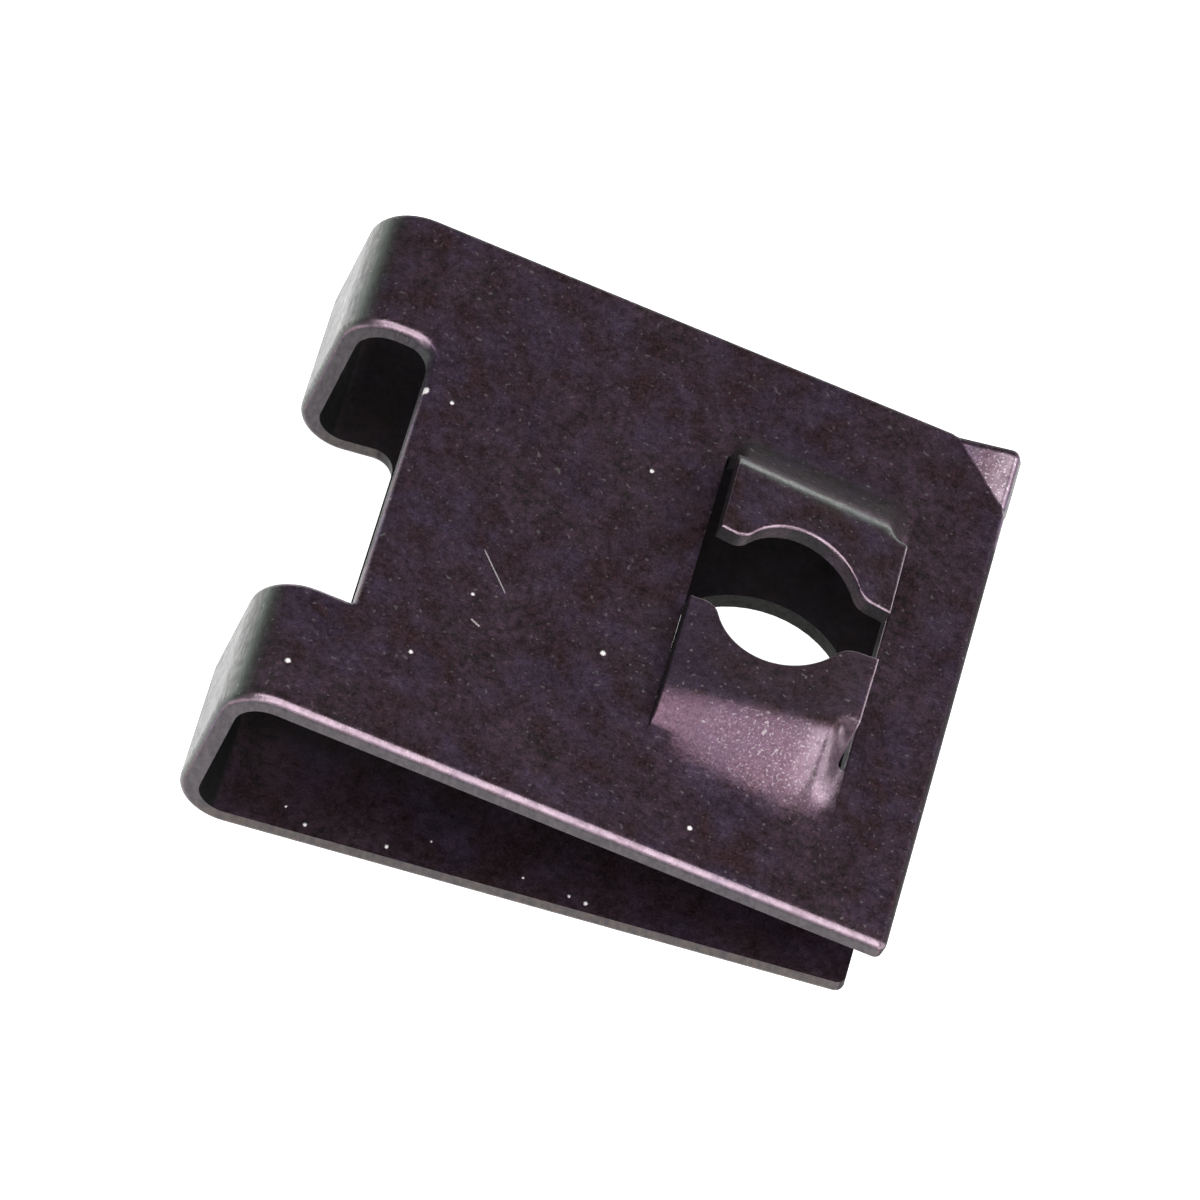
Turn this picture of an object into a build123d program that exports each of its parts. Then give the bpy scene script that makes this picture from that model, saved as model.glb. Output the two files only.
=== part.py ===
from build123d import *

import os
from collections import namedtuple
from math import cos, radians, sin

# A U-type spring nut for a No. 8 screw: one strip of spring steel folded into a clip.
# Millimetres. X runs from the folded web to the open end, Y across the strip and Z up.
# The origin is the centre of the screw hole, on the outer face of the lower leg.

# --- Strip ---------------------------------------------------------------------------------
THICKNESS = 0.50
WIDTH = 14.74
UPPER_LENGTH = 16.53          # along the upper leg, from the web's outer face to the free end
LOWER_LENGTH = 16.45          # the same along the lower leg
SHOULDER_RADIUS = 0.20        # rolled edge that blanking leaves round the outer face
CORNER_RADIUS = 0.22          # corners of the free ends, in plan

# --- Fold ----------------------------------------------------------------------------------
WEB_HEIGHT = 5.75             # along the web's outer face, between its two sharp corners
WEB_LEAN = 10.0               # degrees that the web leans over the lower leg
LEG_SLOPE = 11.46             # degrees by which the upper leg drops towards the open end
LOWER_BEND_RADIUS = 1.20      # both bends, on the outer face
UPPER_BEND_RADIUS = 1.28

# --- Notch through the fold, which leaves a loop on each side ----------------------------------
NOTCH_WIDTH = 7.78
NOTCH_UPPER_DEPTH = 2.22      # from the web's outer face
NOTCH_LOWER_DEPTH = 2.76
NOTCH_WIDE_RADIUS = 0.60      # corners on the +Y side
NOTCH_TIGHT_RADIUS = 0.15     # corners on the -Y side

# --- Screw hole in the lower leg ----------------------------------------------------------------
HOLE_DIAMETER = 5.34
HOLE_SETBACK = 12.16          # centre of the hole, from the web's outer face

# --- Lanced window in the upper leg, and the two prongs that bite the screw's thread --------------
WINDOW_START = 9.645          # both ends of the window, from the web's outer face
WINDOW_END = 14.40
ROOT_REACH = 4.50             # from the middle of the leg to where leg and ramp would meet
ROOT_HALF_WIDTH = 0.60        # half the width of the rounding there, at the foot of each ramp
RIDGE_HALF_WIDTH = 0.20       # half the width of the rounding at the top
THREAD_SETBACK = 11.90        # axis of the thread, from the web's outer face
THREAD_RADIUS = 1.66          # arc that takes the root of the thread
BACK_THREAD_OFFSET = 0.30     # from the middle of the leg to the centre of each prong's arc,
FRONT_THREAD_OFFSET = 0.01    # which lies on that prong's own side
MOUTH_RADIUS = 0.50           # where the arc runs out into the free edge
LANCED_RADIUS = 0.07          # rounding of the prongs' upper rims and the window's outer end

# The back prong is on the +Y side and the front prong on the -Y side. Each is raised more at
# one end than at the other, to follow the thread's helix. The inner end is towards the web.
# Setbacks are taken from the web's outer face, reaches from the middle of the leg, and rises
# from its outer face. The tip is the free edge. The lancing stops at the slit's reach, and
# beyond it the side of the ramp is drawn down to the leg over the flank's width.
PRONG_END_SIZES = "setback ridge_reach ridge_rise tip_reach tip_rise slit_reach flank_width"
ProngEnd = namedtuple("ProngEnd", PRONG_END_SIZES)
BACK_INNER = ProngEnd(9.71, 3.08, 1.44, 0.98, 1.58, slit_reach=4.10, flank_width=0.45)
BACK_OUTER = ProngEnd(14.26, 3.28, 0.88, 0.86, 1.06, slit_reach=3.45, flank_width=0.70)
FRONT_INNER = ProngEnd(9.655, 3.03, 0.42, 0.40, 0.48, slit_reach=4.00, flank_width=1.00)
FRONT_OUTER = ProngEnd(14.20, 3.08, 1.44, 0.86, 1.58, slit_reach=3.15, flank_width=0.90)
SLIT_RUN_OUT = 0.50           # length over which the side of a prong bends down to a slit's end
GRID_STEP = 0.10              # spacing of the points that each prong's skin passes through
SKIN_TOLERANCE = 0.002        # and how closely it does so
SINK = 0.004                  # depth of that skin below the leg's, where the two meet
LAP = 0.08                    # how far a prong's sheet runs into the leg round the window

# --- Lead-in corner, turned up at the open end ----------------------------------------------------
LEAD_IN_LEG = 1.84            # cut off along each side by the bend line
LEAD_IN_ANGLE = 28.0
LEAD_IN_BEND_RADIUS = 0.15    # on the outer face, which is the inside of this bend
LEAD_IN_BEND_STEPS = 4        # straight facets that make up the bend

CLEAR = 40.0                  # cutting tools are larger than the clip
TIGHT = 0.001                 # largest gap between a point and the surface that it lies on

FOOT_REACH = ROOT_REACH + ROOT_HALF_WIDTH
SHEET_TOOL = 4 * THICKNESS    # height of a tool that cuts one leg and clears the other

WEB_FOOT = Vector(-HOLE_SETBACK, 0, 0)
WEB_HEAD = WEB_FOOT + Vector(sin(radians(WEB_LEAN)), 0, cos(radians(WEB_LEAN))) * WEB_HEIGHT
LEG_DIRECTION = Vector(cos(radians(LEG_SLOPE)), 0, -sin(radians(LEG_SLOPE)))
LEG_NORMAL = Vector(sin(radians(LEG_SLOPE)), 0, cos(radians(LEG_SLOPE)))
LOWER_END = WEB_FOOT + Vector(LOWER_LENGTH, 0, 0)
UPPER_END = WEB_HEAD + LEG_DIRECTION * UPPER_LENGTH

# Plane of the upper leg's outer face: X is the distance from the web's outer face, and Z the
# height above the leg. The window, the prongs and the lead-in corner are made in this plane.
UPPER_LEG = Plane(origin=WEB_HEAD, x_dir=LEG_DIRECTION, z_dir=LEG_NORMAL)

# The lead-in corner's bend line crosses the corner at 45 degrees. Its length of flat sheet is
# taken halfway through the thickness.
LEAD_IN_MIDDLE = Vector(UPPER_LENGTH - LEAD_IN_LEG / 2, WIDTH / 2 - LEAD_IN_LEG / 2, 0)
LEAD_IN_DIRECTION = Vector(1, 1, 0).normalized()
LEAD_IN_HINGE = Axis(LEAD_IN_MIDDLE + Vector(0, 0, LEAD_IN_BEND_RADIUS), Vector(1, -1, 0))
LEAD_IN_BEND_LENGTH = radians(LEAD_IN_ANGLE) * (LEAD_IN_BEND_RADIUS + THICKNESS / 2)


def strip_section(outer_line, side):
    """Section of the sheet, of even thickness, that lies on one side of its outer line."""
    return make_face(offset(outer_line, amount=THICKNESS, side=side).edges())


def outer_skin(strip, outer_line):
    """Faces of the strip that lie on its outer line, whatever their place across the width."""
    skin = []
    for face in strip.faces():
        point = face.position_at(0.5, 0.5)
        if outer_line.distance_to(Vertex(point.X, 0, point.Z)) < TIGHT:
            skin.append(face)
    return skin


def outline_of(faces):
    """Edges that belong to one face alone, which are the outline of the whole skin."""
    edges = [edge for face in faces for edge in face.edges()]
    return [edge for edge in edges if sum(edge.is_same(other) for other in edges) == 1]


def notch_tool(height):
    """Block that ends at X = 0 in two rounded upright corners and reaches far towards -X."""
    block = Box(CLEAR, NOTCH_WIDTH, height, align=(Align.MAX, Align.CENTER, Align.MIN))
    for side, radius in ((0, NOTCH_TIGHT_RADIUS), (-1, NOTCH_WIDE_RADIUS)):
        corner = block.edges().filter_by(Axis.Z).group_by(Axis.X)[-1].sort_by(Axis.Y)[side]
        block = fillet(corner, radius)
    return block


def folded_strip():
    """The strip bent into a U, with its notch, its rounded corners and its rolled shoulder."""
    corners = (LOWER_END, WEB_FOOT, WEB_HEAD, UPPER_END)
    profile = FilletPolyline(
        *[(corner.X, corner.Z) for corner in corners],
        radius=[LOWER_BEND_RADIUS, UPPER_BEND_RADIUS],
    )
    strip = extrude(Plane.XZ * strip_section(profile, Side.RIGHT), WIDTH / 2, both=True)
    ends = [edge for edge in strip.edges() if abs(edge.length - THICKNESS) < TIGHT]
    strip = fillet(ends, CORNER_RADIUS)

    half_height = WEB_HEIGHT / 2
    strip -= Pos(WEB_FOOT.X + NOTCH_LOWER_DEPTH, 0, 0) * notch_tool(half_height)
    strip -= UPPER_LEG * Pos(NOTCH_UPPER_DEPTH, 0, -half_height) * notch_tool(WEB_HEIGHT)

    skin = outer_skin(strip, Plane.XZ * profile)
    return fillet(outline_of(skin), SHOULDER_RADIUS)


def beyond_bend_line(distance):
    """Block that holds everything further than this distance past the lead-in's bend line."""
    align = (Align.MIN, Align.CENTER, Align.CENTER)
    start = LEAD_IN_MIDDLE + LEAD_IN_DIRECTION * distance
    return Pos(start) * Rot(0, 0, 45) * Box(WIDTH, WIDTH, SHEET_TOOL, align=align)


def turned_up(shape, share):
    """A slice of the flat corner, where a share of the bend ends, brought to its place."""
    back = Pos(LEAD_IN_DIRECTION * (-share * LEAD_IN_BEND_LENGTH)) * shape
    return back.rotate(LEAD_IN_HINGE, share * LEAD_IN_ANGLE)


def turn_up_corner(leg):
    """Bend one corner of the open end up, without changing the length of its sheet."""
    sections = []
    for step in range(LEAD_IN_BEND_STEPS + 1):
        share = step / LEAD_IN_BEND_STEPS
        rest = leg & beyond_bend_line(share * LEAD_IN_BEND_LENGTH)
        cut = rest.faces().sort_by(Axis((0, 0, 0), LEAD_IN_DIRECTION))[0]
        sections.append(turned_up(cut, share))
    bend = loft(sections, ruled=True)
    flap = turned_up(leg & beyond_bend_line(LEAD_IN_BEND_LENGTH), 1)
    return (leg - beyond_bend_line(0)).fuse(bend, flap)


def eased_step(value, start, end):
    """0 before start and 1 after end, with no corner between."""
    share = min(max((value - start) / (end - start), 0), 1)
    return share * share * (3 - 2 * share)


def eased_corner(distance, half_width):
    """0 on one side of a corner and the distance past it on the other, with an arc between."""
    if abs(distance) < half_width:
        return (distance + half_width) ** 2 / (4 * half_width)
    return max(distance, 0)


def prong_height(inner_end, outer_end, setback, reach):
    """Height of one prong's skin above the leg."""
    share = (setback - inner_end.setback) / (outer_end.setback - inner_end.setback)
    here = ProngEnd(*[a + (b - a) * share for a, b in zip(inner_end, outer_end)])
    ramp_slope = here.ridge_rise / (ROOT_REACH - here.ridge_reach)
    top_slope = (here.tip_rise - here.ridge_rise) / (here.ridge_reach - here.tip_reach)
    height = ramp_slope * eased_corner(ROOT_REACH - reach, ROOT_HALF_WIDTH)
    height += (top_slope - ramp_slope) * eased_corner(here.ridge_reach - reach, RIDGE_HALF_WIDTH)
    for end, inset in ((inner_end, setback - WINDOW_START), (outer_end, WINDOW_END - setback)):
        past_slit = eased_step(reach, end.slit_reach - SLIT_RUN_OUT, end.slit_reach)
        height *= 1 - past_slit * (1 - eased_step(inset, 0, end.flank_width))
    return height


def evenly(start, end, step):
    """Numbers from start to end, about a step apart."""
    count = round((end - start) / step)
    return [start + (end - start) * i / count for i in range(count + 1)]


def prong_plan(inner_end, outer_end, thread_offset):
    """Plan of one prong, with its slits and the thread's arc in its free edge."""
    outline = [
        (inner_end.setback, inner_end.tip_reach),
        (outer_end.setback, outer_end.tip_reach),
        (outer_end.setback, outer_end.slit_reach),
        (WINDOW_END + LAP, outer_end.slit_reach),
        (WINDOW_END + LAP, FOOT_REACH + LAP),
        (WINDOW_START - LAP, FOOT_REACH + LAP),
        (WINDOW_START - LAP, inner_end.slit_reach),
        (inner_end.setback, inner_end.slit_reach),
    ]
    thread_centre = Vector(THREAD_SETBACK, thread_offset, 0)
    plan = make_face(Polyline(*outline, close=True)) - Pos(thread_centre) * Circle(THREAD_RADIUS)
    mouth = []
    for vertex in plan.vertices():
        if abs((Vector(vertex) - thread_centre).length - THREAD_RADIUS) < TIGHT:
            mouth.append(vertex)
    return fillet(mouth, MOUTH_RADIUS)


def upper_rim(blade, inner_end, outer_end):
    """Upper edges of the free part of a prong, between its two slits."""
    rim = []
    for face in blade.faces():
        centre = face.center()
        free = centre.Y < min(inner_end.slit_reach, outer_end.slit_reach) - TIGHT
        if free and abs(face.normal_at().Z) < TIGHT:
            rim.append(face.edges().sort_by(Axis.Z)[-1])
    return rim


def prong(inner_end, outer_end, thread_offset):
    """One prong on the +Y side: a twisted ramp, with the thread's arc in its free edge."""
    nearest = min(inner_end.tip_reach, outer_end.tip_reach) - LAP
    rows = []
    for setback in evenly(WINDOW_START - LAP, WINDOW_END + LAP, GRID_STEP):
        row = []
        for reach in evenly(nearest, FOOT_REACH + LAP, GRID_STEP):
            height = prong_height(inner_end, outer_end, setback, reach) - SINK
            row.append(Vector(setback, reach, height))
        rows.append(row)
    skin = Face.make_surface_from_array_of_points(rows, tol=SKIN_TOLERANCE, min_deg=3)
    sheet = extrude(skin, THICKNESS, dir=(0, 0, -1))
    blade = sheet & extrude(prong_plan(inner_end, outer_end, thread_offset), CLEAR, both=True)
    return fillet(upper_rim(blade, inner_end, outer_end), LANCED_RADIUS)


def upper_leg_features(strip):
    """Form the lead-in corner, the window and the prong pair in the flat of the upper leg."""
    leg = turn_up_corner(UPPER_LEG.location.inverse() * strip)
    align = (Align.MIN, Align.CENTER, Align.CENTER)
    window = Box(WINDOW_END - WINDOW_START, 2 * FOOT_REACH, SHEET_TOOL, align=align)
    leg -= Pos(WINDOW_START, 0, 0) * window
    for edge in leg.edges().filter_by(Axis.Y):
        if (edge.center() - Vector(WINDOW_END, 0, 0)).length < TIGHT:
            leg = fillet(edge, LANCED_RADIUS)
    back_prong = prong(BACK_INNER, BACK_OUTER, BACK_THREAD_OFFSET)
    front_prong = mirror(prong(FRONT_INNER, FRONT_OUTER, FRONT_THREAD_OFFSET), Plane.XZ)
    return UPPER_LEG.location * leg.fuse(back_prong, front_prong)


clip = upper_leg_features(folded_strip())
clip -= Cylinder(HOLE_DIAMETER / 2, SHEET_TOOL)

os.makedirs("parts", exist_ok=True)
export_step(clip, "parts/clip.step")
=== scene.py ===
import logging
from dataclasses import dataclass, field, replace
from enum import Enum
from functools import cache, reduce
from math import cos, pi, radians, sin
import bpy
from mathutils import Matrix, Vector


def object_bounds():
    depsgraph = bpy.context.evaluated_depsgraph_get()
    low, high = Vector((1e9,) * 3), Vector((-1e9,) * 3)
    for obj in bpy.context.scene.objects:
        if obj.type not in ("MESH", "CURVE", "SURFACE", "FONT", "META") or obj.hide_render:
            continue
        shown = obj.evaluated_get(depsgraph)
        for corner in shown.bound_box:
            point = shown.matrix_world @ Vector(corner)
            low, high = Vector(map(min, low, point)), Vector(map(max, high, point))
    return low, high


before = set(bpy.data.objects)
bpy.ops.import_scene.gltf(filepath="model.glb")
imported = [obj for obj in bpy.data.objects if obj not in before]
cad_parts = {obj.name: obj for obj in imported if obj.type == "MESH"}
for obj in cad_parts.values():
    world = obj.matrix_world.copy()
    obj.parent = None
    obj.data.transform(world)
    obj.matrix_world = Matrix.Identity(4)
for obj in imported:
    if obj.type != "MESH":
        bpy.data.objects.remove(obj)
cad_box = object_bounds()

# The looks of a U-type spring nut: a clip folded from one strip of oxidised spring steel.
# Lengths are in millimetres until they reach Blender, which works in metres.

from types import MappingProxyType

import bpy
from mathutils import Matrix, Vector

MM = 0.001
NONE = MappingProxyType({})
LOG = logging.getLogger("scene")

# Blender's Mix node has sockets for each kind of data. These are the ones for colours.
MIX_FACTOR, MIX_FIRST, MIX_SECOND, MIX_RESULT = 0, 6, 7, 2


class Signal:
    """A number that a socket carries. Arithmetic on it adds Math nodes to the same graph."""

    def __init__(self, graph: "Graph", socket: bpy.types.NodeSocket) -> None:
        """Wrap one output socket of a graph."""
        self.graph = graph
        self.socket = socket

    def _math(self, operation: str, *terms: "Signal | float") -> "Signal":
        """Add one Math node.

        Args:
            operation: the node's operation.
            terms: its inputs, in order.

        Returns:
            The node's result.
        """
        return self.graph.node("ShaderNodeMath", {"operation": operation}, dict(enumerate(terms)))["Value"]

    def __add__(self, other: "Signal | float") -> "Signal":
        """Sum."""
        return self._math("ADD", self, other)

    def __radd__(self, other: float) -> "Signal":
        """Sum with a plain number on the left."""
        return self._math("ADD", other, self)

    def __sub__(self, other: "Signal | float") -> "Signal":
        """Difference."""
        return self._math("SUBTRACT", self, other)

    def __rsub__(self, other: float) -> "Signal":
        """Difference from a plain number."""
        return self._math("SUBTRACT", other, self)

    def __mul__(self, other: "Signal | float") -> "Signal":
        """Product."""
        return self._math("MULTIPLY", self, other)

    def __rmul__(self, other: float) -> "Signal":
        """Product with a plain number on the left."""
        return self._math("MULTIPLY", other, self)

    def __truediv__(self, other: "Signal | float") -> "Signal":
        """Quotient."""
        return self._math("DIVIDE", self, other)

    def __rtruediv__(self, other: float) -> "Signal":
        """A plain number over this one."""
        return self._math("DIVIDE", other, self)

    def __pow__(self, other: "Signal | float") -> "Signal":
        """Power."""
        return self._math("POWER", self, other)

    def __rpow__(self, other: float) -> "Signal":
        """A plain number to this power."""
        return self._math("POWER", other, self)

    def __abs__(self) -> "Signal":
        """Size without its sign."""
        return self._math("ABSOLUTE", self)

    def highest(self, other: "Signal | float") -> "Signal":
        """The larger of two numbers."""
        return self._math("MAXIMUM", self, other)

    def spread(self, low: float, high: float) -> "Signal":
        """A share turned into a number: low where the share is 0, and high where it is 1."""
        return self * (high - low) + low

    def ramp(self, start: float, end: float) -> "Signal":
        """A smooth rise: three times the square of the share of the way, less twice its cube.

        Args:
            start: the number at which it is 0.
            end: the number at which it is 1, which may be below start.

        Returns:
            The rise, held between 0 and 1.
        """
        limits = {"Value": self, "From Min": min(start, end), "From Max": max(start, end)}
        settings = {"interpolation_type": "SMOOTHSTEP"}
        rise = self.graph.node("ShaderNodeMapRange", settings, limits)["Result"]
        return rise if start < end else 1 - rise


class Graph:
    """A node tree, with one way to add any node."""

    def __init__(self, tree: bpy.types.NodeTree) -> None:
        """Start with an empty tree."""
        self.tree = tree
        tree.nodes.clear()

    def node(self, kind: str, settings: dict = NONE, inputs: dict = NONE) -> "Outputs":
        """Add a node.

        Args:
            kind: the node's type name.
            settings: properties of the node, set before its inputs.
            inputs: input name or number, to a Signal or a value.

        Returns:
            The node's outputs, to be read by name or number.
        """
        node = self.tree.nodes.new(kind)
        for name, value in settings.items():
            setattr(node, name, value)
        for name, value in inputs.items():
            if isinstance(value, Signal):
                self.tree.links.new(value.socket, node.inputs[name])
            else:
                node.inputs[name].default_value = value
        return Outputs(self, node)

    def parts(self, vector: Signal) -> tuple:
        """The three parts of a vector."""
        split = self.node("ShaderNodeSeparateXYZ", NONE, {"Vector": vector})
        return split["X"], split["Y"], split["Z"]

    def scaled(self, vector: "Signal | tuple", scale: "Signal | float") -> Signal:
        """A vector or a colour multiplied by a number."""
        inputs = {0: vector, "Scale": scale}
        return self.node("ShaderNodeVectorMath", {"operation": "SCALE"}, inputs)["Vector"]

    def stretched(self, vector: Signal, scales: tuple) -> Signal:
        """A vector with each part multiplied by its own scale."""
        inputs = {0: vector, 1: scales}
        return self.node("ShaderNodeVectorMath", {"operation": "MULTIPLY"}, inputs)["Vector"]

    def blend(self, share: Signal, first: "Signal | tuple", second: "Signal | tuple") -> Signal:
        """Mix two colours.

        Args:
            share: how much of the second colour shows, from 0 to 1.
            first: the first colour, as red, green and blue or a Signal.
            second: the second colour.

        Returns:
            The mixed colour.
        """
        settings = {"data_type": "RGBA", "blend_type": "MIX", "clamp_factor": True}
        inputs = {MIX_FACTOR: share, MIX_FIRST: opaque(first), MIX_SECOND: opaque(second)}
        return self.node("ShaderNodeMix", settings, inputs)[MIX_RESULT]


class Outputs:
    """The outputs of one node."""

    def __init__(self, graph: Graph, node: bpy.types.Node) -> None:
        """Keep the node with its graph."""
        self.graph = graph
        self.node = node

    def __getitem__(self, name: "str | int") -> Signal:
        """The output with this name or number."""
        return Signal(self.graph, self.node.outputs[name])


def opaque(colour: "Signal | tuple") -> "Signal | tuple":
    """A plain colour with full alpha, or a Signal as it is."""
    return (*colour, 1.0) if isinstance(colour, tuple) else colour


def stand(
    name: str, data: bpy.types.ID, place: Vector, back: Vector, roll: float = 0.0
) -> bpy.types.Object:
    """Put a camera or a lamp in the scene.

    Args:
        name: the object's name.
        data: its camera or its light.
        place: where it stands, in millimetres.
        back: the direction towards it from what it faces.
        roll: how far it is turned about that direction, in degrees.

    Returns:
        The object.
    """
    thing = bpy.data.objects.new(name, data)
    bpy.context.scene.collection.objects.link(thing)
    turn = back.to_track_quat("Z", "Y").to_matrix() @ Matrix.Rotation(radians(roll), 3, "Z")
    thing.matrix_world = Matrix.Translation(place * MM) @ turn.to_4x4()
    return thing


@dataclass(frozen=True)
class Noise:
    """Layered noise around a half.

    Its scale is the number of swings in a millimetre, its detail the number of finer layers, and
    its stretch multiplies the scale along X, Y and Z.
    """

    scale: float
    detail: float
    stretch: tuple = (1.0, 1.0, 1.0)


@dataclass(frozen=True)
class Patch:
    """A part of the clip's surface with soft edges.

    Each field but the first limits the patch by one measure of the point, which Point describes.
    It holds one pair of values, or two. The patch fades in from a pair's first value to its
    second, which may be the lower one. The mask is the strength times the product of its limits.
    """

    strength: float = 1.0
    x: tuple = ()
    y: tuple = ()
    z: tuple = ()
    side: tuple = ()
    radius: tuple = ()
    faces_x: tuple = ()
    faces_y: tuple = ()
    faces_z: tuple = ()
    tilt_x: tuple = ()
    tilt_y: tuple = ()
    tilt_z: tuple = ()

    def limits(self) -> list:
        """Every limit, as the name of its measure with where the mask is 0 and where it is 1."""
        measures = [(name, values) for name, values in vars(self).items() if name != "strength"]
        return [(name, *pair) for name, values in measures for pair in zip(values[::2], values[1::2])]


def near(middle: float, reach: float, core: float) -> tuple:
    """Two pairs that keep what lies about a middle: all within core of it and none past reach."""
    return middle - reach, middle - core, middle + reach, middle + core


class Point:
    """The shaded point of the clip, in the clip's own frame.

    Its measures are its place (x, y, z), its distance from the strip's middle line (side) and from
    the hole's axis (radius), the parts of the surface's normal (faces_x, faces_y, faces_z), and
    those parts without their signs (tilt_x, tilt_y, tilt_z).
    """

    def __init__(self, graph: Graph) -> None:
        """Read the point's place and its normal.

        Args:
            graph: the graph of the clip's material.
        """
        self.graph = graph
        point = graph.node("ShaderNodeTexCoord")
        self.place = graph.scaled(point["Object"], 1 / MM)
        self.x, self.y, self.z = graph.parts(self.place)
        self.side = abs(self.y)
        self.radius = self.away(0.0, 0.0)
        self.faces_x, self.faces_y, self.faces_z = graph.parts(point["Normal"])
        self.tilt_x, self.tilt_y, self.tilt_z = abs(self.faces_x), abs(self.faces_y), abs(self.faces_z)

    def away(self, x: float, y: float) -> Signal:
        """Distance in plan from a place."""
        return ((self.x - x) ** 2 + (self.y - y) ** 2) ** 0.5

    @cache
    def noise(self, noise: Noise) -> Signal:
        """A noise at the point.

        Args:
            noise: its scale, detail and stretch.

        Returns:
            The noise, which all that read it share.
        """
        swings = tuple(noise.scale * along for along in noise.stretch)
        inputs = {"Vector": self.graph.stretched(self.place, swings), "Scale": 1.0, "Detail": noise.detail}
        return self.graph.node("ShaderNodeTexNoise", NONE, inputs)["Fac"]

    @cache
    def cover(self, *patches: Patch) -> Signal:
        """The strongest of some patches at the point.

        Args:
            patches: the patches.

        Returns:
            A mask, which all that read it share.
        """
        masks = []
        for patch in patches:
            mask = patch.strength
            for name, start, end in patch.limits():
                mask = getattr(self, name).ramp(start, end) * mask
            masks.append(mask)
        return reduce(Signal.highest, masks)


class Leg(Enum):
    """One of the strip's two legs, by the pair of heights that limits a patch to it."""

    UPPER = (1.0, 1.1)
    LOWER = (0.7, 0.6)


@dataclass(frozen=True)
class Speck:
    """A grain of pale dust, by its place in plan, its radius and its leg."""

    x: float
    y: float
    radius: float
    leg: Leg = Leg.UPPER

    def mask(self, at: Point, ragged: Signal) -> Signal:
        """1 within its radius, whose edge an uneven length makes ragged, and 0 past a soft rim."""
        return (at.away(self.x, self.y) + ragged).ramp(self.radius * 1.5 + 0.03, self.radius)


@dataclass(frozen=True)
class Scratch:
    """A fine straight scratch on the upper leg, by its ends in plan and its width."""

    start: tuple
    end: tuple
    width: float = 0.022
    strength: float = 0.45

    def mask(self, at: Point) -> Signal:
        """Its strength on the line between its ends, and 0 elsewhere.

        The share of the way along the line is the dot product of the point's offset with the run,
        over the run's squared length. The distance across it is their cross product over the
        length.

        Args:
            at: the shaded point.

        Returns:
            The mask.
        """
        start, run = Vector(self.start), Vector(self.end) - Vector(self.start)
        x, y = at.x - start.x, at.y - start.y
        along = (x * run.x + y * run.y) / run.length_squared
        across = abs(x * run.y - y * run.x) / run.length
        line = across.ramp(self.width, self.width / 2)
        return line * along.ramp(0.0, 0.1) * along.ramp(1.0, 0.9) * self.strength


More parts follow.
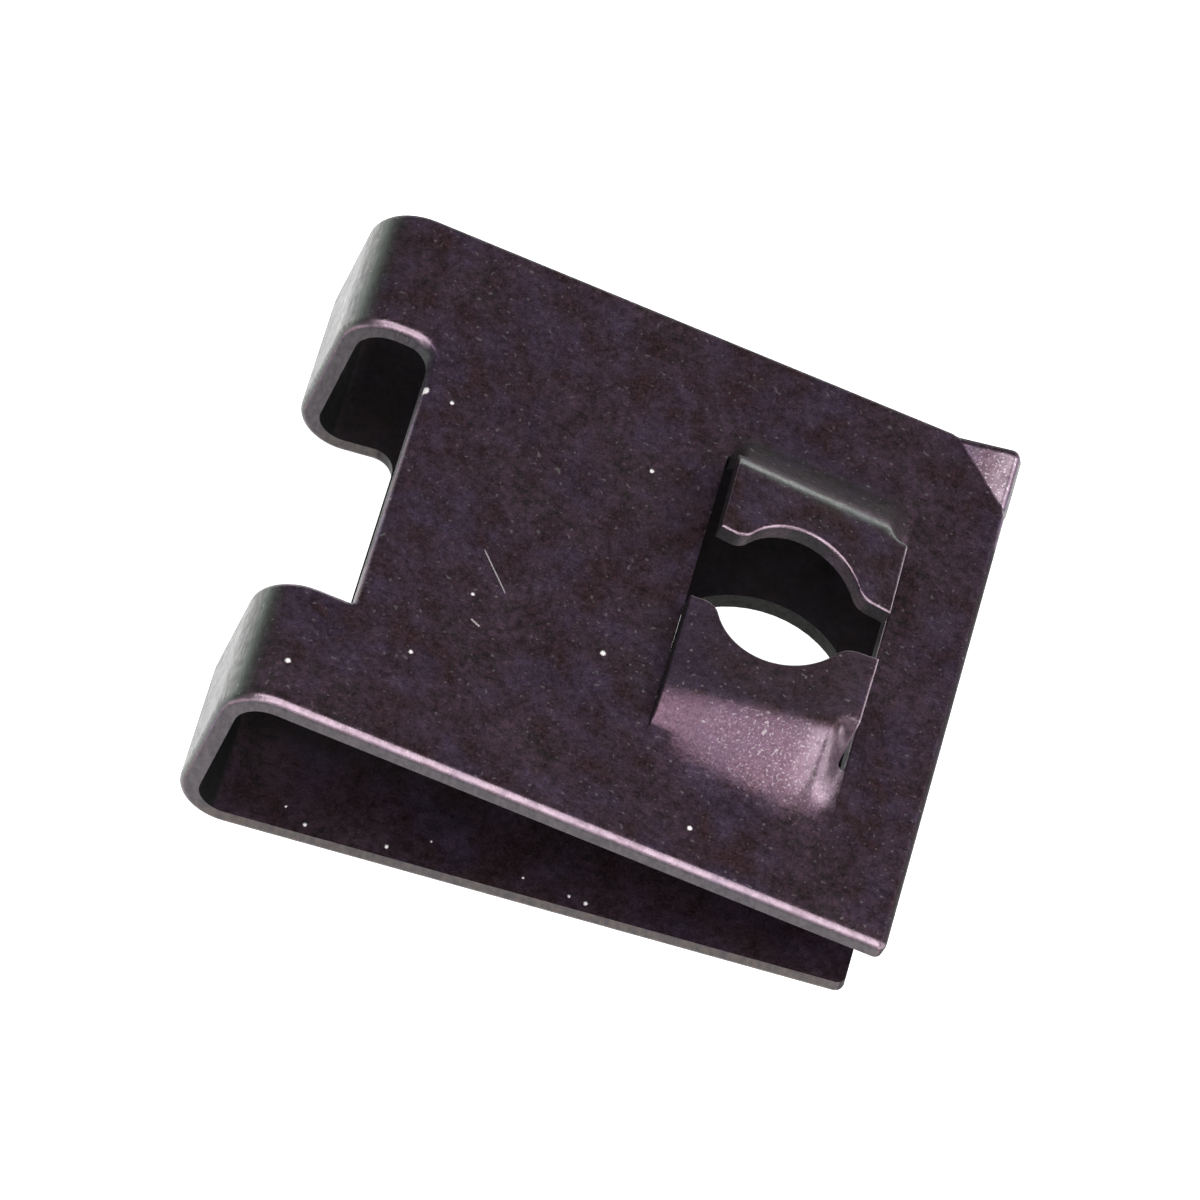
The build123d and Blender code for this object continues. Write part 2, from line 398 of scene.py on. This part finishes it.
@dataclass(frozen=True)
class Sheet:
    """Sizes of the folded strip, and the patches of its surface that look different.

    X runs from the web to the open end, Y across the strip from front to back, and Z up. The
    origin is the middle of the hole, on the lower leg's outer face.

    Attributes:
        web: X of the web's outer face.
        half_width: half the strip's width.
        fold: how far the rounds of the fold reach from the web.
        notch: how far the notch reaches from the web.
        notch_reach: half the notch's width.
        window_end: X of the window's right end.
        rim_reach: how far from the middle line the prongs' free rims reach.
        ridge_reach: how far from it the back prong's ridge lies.
        hole_radius: radius of the screw hole.
        thickness: thickness of the sheet.
    """

    web: float
    half_width: float
    fold: float = 1.93
    notch: float = 2.73
    notch_reach: float = 3.89
    window_end: float = 2.87
    rim_reach: float = 2.7
    ridge_reach: float = 3.15
    hole_radius: float = 2.67
    thickness: float = 0.5

    @classmethod
    def from_frame(cls) -> "Sheet":
        """The strip whose web and width are those of the CAD solid's box."""
        lowest = Vector(cad_box[0]) / MM
        return cls(web=lowest.x, half_width=-lowest.y)

    @property
    def fold_end(self) -> float:
        """Where the rounds of the fold run out into the legs."""
        return self.web + self.fold

    @property
    def notch_end(self) -> float:
        """The notch's end in the upper leg."""
        return self.web + self.notch

    def web_outside(self) -> Patch:
        """The web's outer face, with the rounds of the fold above and below it."""
        return Patch(x=(self.fold_end + 1.0, self.fold_end + 0.8), faces_x=(-0.25, -0.70))

    def upright_web(self) -> Patch:
        """The part of the web's outer face that stands nearly upright."""
        return Patch(faces_x=(-0.55, -0.95))

    def upper_faces(self) -> Patch:
        """The faces of the upper leg and its prongs that look up."""
        return Patch(z=Leg.UPPER.value, faces_z=(0.5, 0.8))

    def front_slope(self) -> Patch:
        """The slope from the front prong's ridge down to the leg."""
        return Patch(y=(-2.9, -3.1, -4.8, -4.4), faces_y=(-0.12, -0.25))

    def turned_corner(self) -> Patch:
        """The corner of the open end that is turned up."""
        return Patch(x=(0.0, 0.5), y=(3.5, 4.0), faces_y=(-0.10, -0.20), faces_z=(0.6, 0.8))

    def crest(self) -> Patch:
        """The ridge of the back prong, where a broad highlight is painted."""
        ridge = near(self.ridge_reach, 0.42, 0.10)
        return Patch(strength=0.7, x=(-1.8, -1.6), y=ridge, faces_y=(0.04, 0.30))

    def glinting(self) -> tuple:
        """The patches where glints of light are painted.

        Returns:
            Patches for the front prong's slope and the turned-up corner, stronger to the right.
        """
        slope = replace(self.front_slope(), strength=0.22, x=(-1.6, 1.2))
        corner = replace(self.turned_corner(), strength=0.6, x=(0.0, 0.5, 3.4, 4.8))
        return slope, corner

    def cut_faces(self) -> tuple:
        """The faces that run through the thickness of the sheet.

        Returns:
            Patches for the strip's sides, its ends and the wall of its hole.
        """
        sides = Patch(tilt_y=(0.93, 0.97))
        ends = Patch(x=(self.fold_end, self.fold_end + 0.1), tilt_x=(0.93, 0.96))
        hole = Patch(
            radius=(self.hole_radius + 0.074, self.hole_radius + 0.037),
            z=(self.thickness + 0.1, self.thickness),
            tilt_z=(0.5, 0.4),
        )
        return sides, ends, hole

    def rims(self) -> tuple:
        """The rounded rims that are rubbed towards bare metal and carry a painted highlight.

        Returns:
            Patches for the rolled rims of the strip's front, the notch and the prongs, for the
            window's end, and for the right end of the front prong's slope.
        """
        # Kept to rims that face up and away from the web, and on the strip to its front side: a painted
        # highlight over real wear.
        rolled = Patch(faces_x=(-0.60, -0.20), faces_z=(0.05, 0.40), tilt_y=(0.12, 0.42, 0.985, 0.80))
        front = replace(rolled, y=(0.30 - self.half_width, 0.20 - self.half_width))
        notch = replace(
            rolled,
            strength=0.8,
            x=(self.notch_end + 0.1, self.notch_end),
            side=near(self.notch_reach, 0.30, 0.20),
        )
        prongs = replace(rolled, side=(self.rim_reach, self.rim_reach - 0.1))
        # A painted highlight along the window's right end.
        window = Patch(
            x=near(self.window_end, 0.30, 0.22),
            y=(3.4, 3.2, -3.1, -2.9),
            tilt_x=(0.30, 0.55, 0.98, 0.90),
        )
        # A painted highlight on the right end of the front prong's slope.
        slope_end = Patch(
            strength=0.6,
            x=(1.5, 2.5, 3.2, 3.0),
            y=(-2.95, -3.15, -4.5, -4.1),
            faces_z=(0.98, 0.90, 0.2, 0.4),
        )
        return front, notch, prongs, window, slope_end

    def fold_painted_shade(self) -> tuple:
        """The faces inside the fold, where near-black shade is painted.

        Returns:
            Patches for the lower leg's inner face, away from the open front, for the inner faces of
            the web and the upper leg, for the hole and for the notch's back corner.
        """
        # Painted shade on the lower leg's inner face, deepening away from the open front.
        lower_leg = Patch(
            strength=0.80,
            y=(1.5 - self.half_width, 3.0 - self.half_width),
            z=(self.thickness + 0.4, self.thickness + 0.2),
            faces_z=(0.5, 0.8),
        )
        web = Patch(x=(self.fold_end - 0.2, self.fold_end - 0.5), faces_x=(0.2, 0.5))
        upper_leg = Patch(z=(1.0, 1.2), faces_z=(0.0, -0.3))
        hole = Patch(
            strength=0.85,
            radius=(self.hole_radius + 0.08, self.hole_radius + 0.03),
            z=(self.thickness + 0.1, self.thickness),
        )
        corner = Patch(
            strength=0.6,
            x=(self.fold_end - 0.2, self.fold_end),
            y=(3.2, 3.4, 4.6, 4.4),
            faces_x=(-0.1, -0.3),
        )
        return lower_leg, web, upper_leg, hole, corner

    def edge_painted_shade(self) -> tuple:
        """The faces round the prongs, and the rims at the back and the free end, where shade is painted.

        Returns:
            Patches for the prongs' free edges, the foot of the back prong, the window's right wall
            and left slit, the front prong's crown, and the two rims.
        """
        # Each of these patches is darkened as painted shade.
        free_edges = Patch(
            strength=0.45,
            side=(self.rim_reach, self.rim_reach - 0.1),
            z=(1.5, 1.7),
            tilt_z=(0.5, 0.3),
        )
        foot = Patch(strength=0.62, y=(3.4, 3.9, 5.0, 4.6), faces_y=(0.03, 0.10))
        wall = Patch(strength=0.7, x=(2.5, 2.7), faces_x=(-0.85, -0.95))
        slit = Patch(strength=0.8, x=(-2.1, -2.2, -3.3, -3.2), faces_x=(0.3, 0.6))
        crown = Patch(
            strength=0.40,
            x=(-2.8, -2.4, 3.0, 2.8),
            y=(-0.3, -0.8, -3.4, -3.0),
            z=(1.5, 1.7),
        )
        back_rim = Patch(
            strength=0.8,
            y=(self.half_width - 0.5, self.half_width - 0.3),
            faces_y=(0.25, 0.60),
            faces_z=(0.03, 0.15),
        )
        free_rim = Patch(strength=0.8, x=(3.4, 3.7), y=(4.8, 4.4), faces_x=(0.30, 0.60))
        return free_edges, foot, wall, slit, crown, back_rim, free_rim


@dataclass(frozen=True)
class OxidisedSteel:
    """Spring steel with a dark heat-treatment oxide: purple-brown, mottled and finely grained.

    Its rolled edges are rubbed towards bare metal and carry a painted highlight. Its cut faces are a
    plainer grey, streaked through the thickness of the sheet. A little pale dust lies on it.
    Painted near-black shade fills the fold and the faces round the prongs, a painted highlight runs
    along the back prong's ridge, painted glints dot the front slope and the turned corner, and the
    web's outer face is tinted as a painted reflection.
    """

    sheet: Sheet

    ground: tuple = (0.104, 0.065, 0.086)
    indigo: tuple = (0.091, 0.063, 0.101)
    russet: tuple = (0.112, 0.064, 0.074)
    olive: tuple = (0.080, 0.062, 0.069)
    darkest: float = 0.35
    # Near-black painted shade for the fold's hollows, the slits and the faces round the prongs.
    painted_shade_black: tuple = (0.012, 0.015, 0.013)
    # Scuffed grey, tinted green as a painted reflection of the pale horizon behind.
    scuffs_and_reflection: tuple = (0.112, 0.120, 0.113)
    # Painted highlight along the back prong's ridge.
    crest_highlight: tuple = (0.200, 0.212, 0.200)
    polished: tuple = (0.108, 0.066, 0.092)
    cut: tuple = (0.074, 0.064, 0.072)
    cut_shade: tuple = (0.048, 0.042, 0.046)
    cut_below: tuple = (0.080, 0.066, 0.060)
    # Bare metal on the rims, bright enough to serve as a painted highlight.
    rubbed_and_highlight: tuple = (0.31, 0.245, 0.285)
    # Pale dust, and also the white of the painted glints.
    dust_and_glint: tuple = (0.85, 0.85, 0.82)

    metallic: float = 0.88
    roughness: float = 0.36
    crystal_roughness: float = 0.35
    sheen_roughness: float = 0.20
    cut_roughness: float = 0.06
    worn_and_highlit_smoothness: float = 0.06
    painted_shade_roughness: float = 0.35
    dust_roughness: float = 0.9

    relief: float = 0.006
    grain_height: float = 0.8
    crystal_height: float = 1.0
    streak_height: float = 2.0
    dust_height: float = 4.0

    clouds: Noise = Noise(0.45, 4.0)
    patches: Noise = Noise(1.3, 4.0)
    flecks: Noise = Noise(5.0, 3.0)
    grain: Noise = Noise(16.0, 2.0)
    crystals: Noise = Noise(7.0, 3.0)
    sheen: Noise = Noise(1.3, 3.0)
    wear: Noise = Noise(4.0, 3.0)
    glints: Noise = Noise(19.0, 0.0)
    pepper: Noise = Noise(9.0, 0.0)
    ragged: Noise = Noise(25.0, 1.0)
    streaks: Noise = Noise(1.0, 3.0, (9.0, 9.0, 3.5))
    scuffs: Noise = Noise(1.0, 4.0, (15.0, 2.6, 15.0))

    specks: tuple = (
        Speck(-8.96, 2.55, 0.08),
        Speck(-8.26, 2.47, 0.035),
        Speck(-3.32, 2.84, 0.04),
        Speck(-6.47, -2.43, 0.03),
        Speck(-3.19, -2.59, 0.05),
        Speck(-10.06, -6.14, 0.05),
        Speck(-7.44, -4.62, 0.035),
        Speck(-0.12, -6.28, 0.045),
        Speck(-8.85, -7.10, 0.035, Leg.LOWER),
        Speck(-9.40, -6.75, 0.022, Leg.LOWER),
        Speck(-2.03, -7.12, 0.035, Leg.LOWER),
        Speck(-2.45, -7.05, 0.025, Leg.LOWER),
        Speck(-6.87, -7.08, 0.035, Leg.LOWER),
        Speck(-5.90, -6.60, 0.018, Leg.LOWER),
        Speck(-3.60, -6.90, 0.020, Leg.LOWER),
    )
    scratches: tuple = (
        Scratch((-6.55, -1.08), (-5.73, -2.10)),
        Scratch((-6.35, -3.10), (-6.10, -3.22), 0.03),
    )

    def material(self) -> bpy.types.Material:
        """Build the finish, layer on layer.

        Returns:
            The material.
        """
        material = bpy.data.materials.new("oxidised_steel")
        material.use_nodes = True
        graph = Graph(material.node_tree)
        at = Point(graph)
        worn_and_highlit, dusty = self.worn_and_highlit(at), self.dusty(at)
        colour = self.mottled(at)
        # Scuffs on the web's outer face, with a painted reflection of the pale horizon.
        colour = self.with_scuffs_and_reflection(at, colour)
        colour = self.with_cut_faces(at, colour)
        # Painted shade: near-black in the fold and round the prongs.
        colour = self.with_painted_shade(at, colour)
        colour = self.with_polished_slope(at, colour)
        # Rubbed rims, with a painted highlight.
        colour = graph.blend(worn_and_highlit, colour, self.rubbed_and_highlight)
        # Painted highlight along the back prong's ridge.
        colour = graph.blend(at.cover(self.sheet.crest()), colour, self.crest_highlight)
        # Painted glints, and a faint pepper of pale points on the upper faces.
        colour = graph.blend(self.painted_glints_and_pepper(at), colour, self.dust_and_glint)
        colour = graph.blend(dusty, colour, self.dust_and_glint)
        inputs = {
            "Base Color": colour,
            "Metallic": self.metallic * (1 - dusty),
            "Roughness": self.uneven_roughness(at, worn_and_highlit, dusty),
            "Normal": self.uneven_normal(at, dusty),
        }
        surface = graph.node("ShaderNodeBsdfPrincipled", NONE, inputs)["BSDF"]
        graph.node("ShaderNodeOutputMaterial", NONE, {"Surface": surface})
        return material

    def mottled(self, at: Point) -> Signal:
        """Patches of indigo, russet and olive on a purple-brown ground, darker in the grain.

        Args:
            at: the shaded point.

        Returns:
            The colour.
        """
        cloud, patch = at.noise(self.clouds), at.noise(self.patches)
        fleck, grain = at.noise(self.flecks), at.noise(self.grain)
        tints = (
            ((cloud * 0.5 + patch * 0.5).ramp(0.46, 0.62), self.indigo),
            ((patch * 0.8 + fleck * 0.2).ramp(0.46, 0.34), self.russet),
            ((cloud * 0.5 + fleck * 0.5).ramp(0.47, 0.34), self.olive),
        )
        colour = self.ground
        for share, tint in tints:
            colour = at.graph.blend(share, colour, tint)
        shade = grain.ramp(0.25, 0.75) * 0.6 + fleck.ramp(0.3, 0.7) * 0.4 + patch.ramp(0.3, 0.7) * 0.3
        return at.graph.scaled(colour, shade + self.darkest)

    def with_scuffs_and_reflection(self, at: Point, colour: Signal) -> Signal:
        """A colour with the web's outer face scuffed in lines that run across the strip, and tinted
        green-grey as a painted reflection of the pale horizon behind.

        Args:
            at: the shaded point.
            colour: the colour underneath.

        Returns:
            The colour.
        """
        upright = at.cover(self.sheet.upright_web())
        scuffs = upright * at.noise(self.scuffs).ramp(0.28, 0.72)
        share = at.cover(self.sheet.web_outside()) * (1 - upright * 0.4 + scuffs * 0.4)
        return at.graph.blend(share, colour, at.graph.scaled(self.scuffs_and_reflection, scuffs.spread(0.75, 1.85)))

    def with_cut_faces(self, at: Point, colour: Signal) -> Signal:
        """A colour with the cut faces plainer, streaked, and warmer on the lower leg.

        Args:
            at: the shaded point.
            colour: the colour underneath.

        Returns:
            The colour.
        """
        metal = at.graph.blend(at.z.ramp(0.7, 0.5), self.cut, self.cut_below)
        metal = at.graph.blend(at.noise(self.streaks).ramp(0.3, 0.7), metal, self.cut_shade)
        return at.graph.blend(self.cut_mask(at), colour, metal)

    def with_painted_shade(self, at: Point, colour: Signal) -> Signal:
        """A colour with near-black painted shade, a little weaker in the grain."""
        share = self.painted_shade_mask(at) * at.noise(self.grain).ramp(0.2, 0.8).spread(0.86, 1.0)
        return at.graph.blend(share, colour, self.painted_shade_black)

    def with_polished_slope(self, at: Point, colour: Signal) -> Signal:
        """A colour with the front prong's slope cleaner than the faces round it."""
        polished = at.graph.scaled(self.polished, at.noise(self.grain).ramp(0.2, 0.8).spread(0.75, 1.25))
        return at.graph.blend(at.cover(self.sheet.front_slope()) * 0.75, colour, polished)

    def cut_mask(self, at: Point) -> Signal:
        """1 on the cut faces, and 0 elsewhere."""
        return at.cover(*self.sheet.cut_faces())

    def painted_shade_mask(self, at: Point) -> Signal:
        """1 where shade is painted, and 0 elsewhere."""
        return at.cover(*self.sheet.fold_painted_shade(), *self.sheet.edge_painted_shade())

    def worn_and_highlit(self, at: Point) -> Signal:
        """Rubbed metal with a painted highlight: uneven along the rims, and brighter towards the corner's
        tip.

        Args:
            at: the shaded point.

        Returns:
            The mask.
        """
        # The turned-up corner carries a painted highlight, brightest towards its tip.
        corner = at.cover(self.sheet.turned_corner()) * at.x.ramp(4.15, 4.95).spread(0.08, 0.93)
        unevenly = at.noise(self.wear).ramp(0.15, 0.70).spread(0.4, 1.0)
        return at.cover(*self.sheet.rims()).highest(corner) * unevenly

    def painted_glints_and_pepper(self, at: Point) -> Signal:
        """How far painted points of light show: glints on the slope and the corner, and a faint pepper of
        pale points on the upper faces.

        Args:
            at: the shaded point.

        Returns:
            The mask.
        """
        glints = at.noise(self.glints).ramp(0.60, 0.80) * at.cover(*self.sheet.glinting())
        pepper = at.noise(self.pepper).ramp(0.73, 0.83) * at.cover(self.sheet.upper_faces())
        return (glints * 0.7).highest(pepper * 0.18)

    def dusty(self, at: Point) -> Signal:
        """1 on the specks of dust, less on the scratches, and 0 elsewhere.

        Args:
            at: the shaded point.

        Returns:
            The mask.
        """
        on_leg = {leg: at.z.ramp(*leg.value) for leg in Leg}
        ragged = at.noise(self.ragged) * 0.03
        marks = [speck.mask(at, ragged) * on_leg[speck.leg] for speck in self.specks]
        marks += [scratch.mask(at) * on_leg[Leg.UPPER] for scratch in self.scratches]
        return reduce(Signal.highest, marks) * at.faces_z.ramp(0.5, 0.7)

    def uneven_roughness(self, at: Point, worn_and_highlit: Signal, dusty: Signal) -> Signal:
        """Roughness that wanders, rises on cut faces and under the painted shade, and falls on the rubbed
        rims with their painted highlight.

        Args:
            at: the shaded point.
            worn_and_highlit: how far the metal is rubbed, with its painted highlight.
            dusty: where dust lies.

        Returns:
            The roughness.
        """
        rough = self.roughness + (at.noise(self.crystals) - 0.5) * self.crystal_roughness
        rough = rough + (at.noise(self.sheen) - 0.5) * self.sheen_roughness
        rough = rough + self.cut_mask(at) * self.cut_roughness - worn_and_highlit * self.worn_and_highlit_smoothness
        rough = rough + self.painted_shade_mask(at) * self.painted_shade_roughness
        return rough.highest(dusty * self.dust_roughness)

    def uneven_normal(self, at: Point, dusty: Signal) -> Signal:
        """The normal over grain and crystals, the streaks of the cut faces, and dust.

        Args:
            at: the shaded point.
            dusty: where dust lies.

        Returns:
            The normal.
        """
        height = (at.noise(self.grain) - 0.5) * self.grain_height
        height = height + (at.noise(self.crystals) - 0.5) * self.crystal_height
        height = height + (at.noise(self.streaks) - 0.5) * self.cut_mask(at) * self.streak_height
        height = height + dusty * self.dust_height
        inputs = {"Strength": 1.0, "Distance": self.relief * MM, "Height": height}
        return at.graph.node("ShaderNodeBump", NONE, inputs)["Normal"]


@dataclass(frozen=True)
class SpringClip:
    """The folded steel clip. Its shape is the CAD solid's, and only its finish is made here."""

    sheet: Sheet = field(default_factory=Sheet.from_frame)

    def build(self) -> bpy.types.Object:
        """Dress the CAD node.

        Returns:
            The node's object.
        """
        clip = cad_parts["clip"]
        material = OxidisedSteel(self.sheet).material()
        for slot in clip.material_slots:
            slot.material = material
        return clip


@dataclass(frozen=True)
class Lamp:
    """A soft rectangular lamp that faces the clip, by the direction in which it stands."""

    name: str
    direction: tuple
    width: float
    height: float
    radiance: float
    colour: tuple
    distance: float = 420.0

    def build(self) -> None:
        """Place the lamp. Its power is radiance times area times pi."""
        light = bpy.data.lights.new(self.name, "AREA")
        light.shape = "RECTANGLE"
        light.size, light.size_y = self.width * MM, self.height * MM
        light.energy = self.radiance * pi * light.size * light.size_y
        light.color = self.colour
        back = Vector(self.direction).normalized()
        stand(self.name, light, back * self.distance, back)


@dataclass(frozen=True)
class Studio:
    """A white table, surroundings that are pale at the horizon behind, and soft lamps.

    The table glows to the camera and in metal, and its paper takes the clip's shadow. In plan,
    way_behind points to the pale part of the horizon.
    """

    table_size: float = 3000.0
    table_gap: float = 0.01
    paper: tuple = (0.8, 0.8, 0.8)
    glow: tuple = (0.97, 1.0, 0.98)
    seen_glow: float = 0.9
    sky_overhead: tuple = (0.14, 0.14, 0.14)
    sky_before: tuple = (0.20, 0.20, 0.21)
    sky_behind: tuple = (1.4, 1.7, 1.5)
    way_behind: tuple = (-0.55, 0.83)
    lamps: tuple = (
        Lamp("softbox_high", (-0.05, -0.26, 0.96), 470.0, 320.0, 2.7, (1.0, 0.95, 0.98)),
        Lamp("softbox_front", (0.15, -0.86, 0.52), 420.0, 330.0, 3.0, (1.0, 0.95, 0.98)),
        Lamp("softbox_right", (0.90, 0.02, 0.42), 340.0, 330.0, 3.2, (1.0, 0.93, 0.98)),
    )

    def build(self) -> None:
        """Build the table, the surroundings and the lamps."""
        self.build_table()
        self.build_surroundings()
        for lamp in self.lamps:
            lamp.build()

    def build_table(self) -> None:
        """A flat square just under the clip, with emission and diffuse paper added together."""
        half = self.table_size * MM / 2
        corners = [(-half, -half, 0), (half, -half, 0), (half, half, 0), (-half, half, 0)]
        mesh = bpy.data.meshes.new("table")
        mesh.from_pydata(corners, [], [(0, 1, 2, 3)])
        table = bpy.data.objects.new("table", mesh)
        table.location.z = -self.table_gap * MM
        bpy.context.scene.collection.objects.link(table)
        material = bpy.data.materials.new("white_table")
        material.use_nodes = True
        graph = Graph(material.node_tree)
        rays = graph.node("ShaderNodeLightPath")
        mirrored = rays["Is Glossy Ray"].highest(rays["Is Transmission Ray"])
        strength = rays["Is Camera Ray"] * self.seen_glow + mirrored
        glow = graph.node("ShaderNodeEmission", NONE, {"Color": opaque(self.glow), "Strength": strength})
        paper = graph.node("ShaderNodeBsdfDiffuse", NONE, {"Color": opaque(self.paper)})
        both = graph.node("ShaderNodeAddShader", NONE, {0: glow["Emission"], 1: paper["BSDF"]})
        graph.node("ShaderNodeOutputMaterial", NONE, {"Surface": both["Shader"]})
        mesh.materials.append(material)

    def build_surroundings(self) -> None:
        """Light from all round: dim overhead, and at the horizon pale behind and dim before."""
        world = bpy.data.worlds.new("surroundings")
        bpy.context.scene.world = world
        world.use_nodes = True
        graph = Graph(world.node_tree)
        x, y, z = graph.parts(graph.node("ShaderNodeTexCoord")["Generated"])
        backward = x * self.way_behind[0] + y * self.way_behind[1]
        colour = graph.blend(backward.ramp(0.0, 0.6), self.sky_before, self.sky_behind)
        colour = graph.blend(z.ramp(0.02, 0.28), colour, self.sky_overhead)
        light = graph.node("ShaderNodeBackground", NONE, {"Color": colour, "Strength": 1.0})
        graph.node("ShaderNodeOutputWorld", NONE, {"Surface": light["Background"]})


@dataclass(frozen=True)
class Camera:
    """Where the camera stands, by the point it looks at."""

    target: tuple = (-3.69, 0.18, 2.18)
    azimuth: float = -86.86
    elevation: float = 54.46
    roll: float = 12.93
    distance: float = 257.8
    lens: float = 327.3

    def build(self) -> None:
        """Place the camera on a line from its target, turned about that line by its roll."""
        camera = bpy.data.cameras.new("camera")
        camera.lens = self.lens
        azimuth, elevation = radians(self.azimuth), radians(self.elevation)
        back = Vector((cos(elevation) * cos(azimuth), cos(elevation) * sin(azimuth), sin(elevation)))
        place = Vector(self.target) + back * self.distance
        bpy.context.scene.camera = stand("camera", camera, place, back, self.roll)


def main() -> None:
    """Dress the clip, then light it and place the camera."""
    logging.basicConfig(level=logging.INFO, format="%(name)s: %(message)s")
    bpy.context.scene.view_settings.view_transform = "Standard"
    clip = SpringClip().build()
    LOG.info("%s: %d triangles", clip.name, len(clip.data.polygons))
    Studio().build()
    Camera().build()


if __name__ == "__main__":
    main()
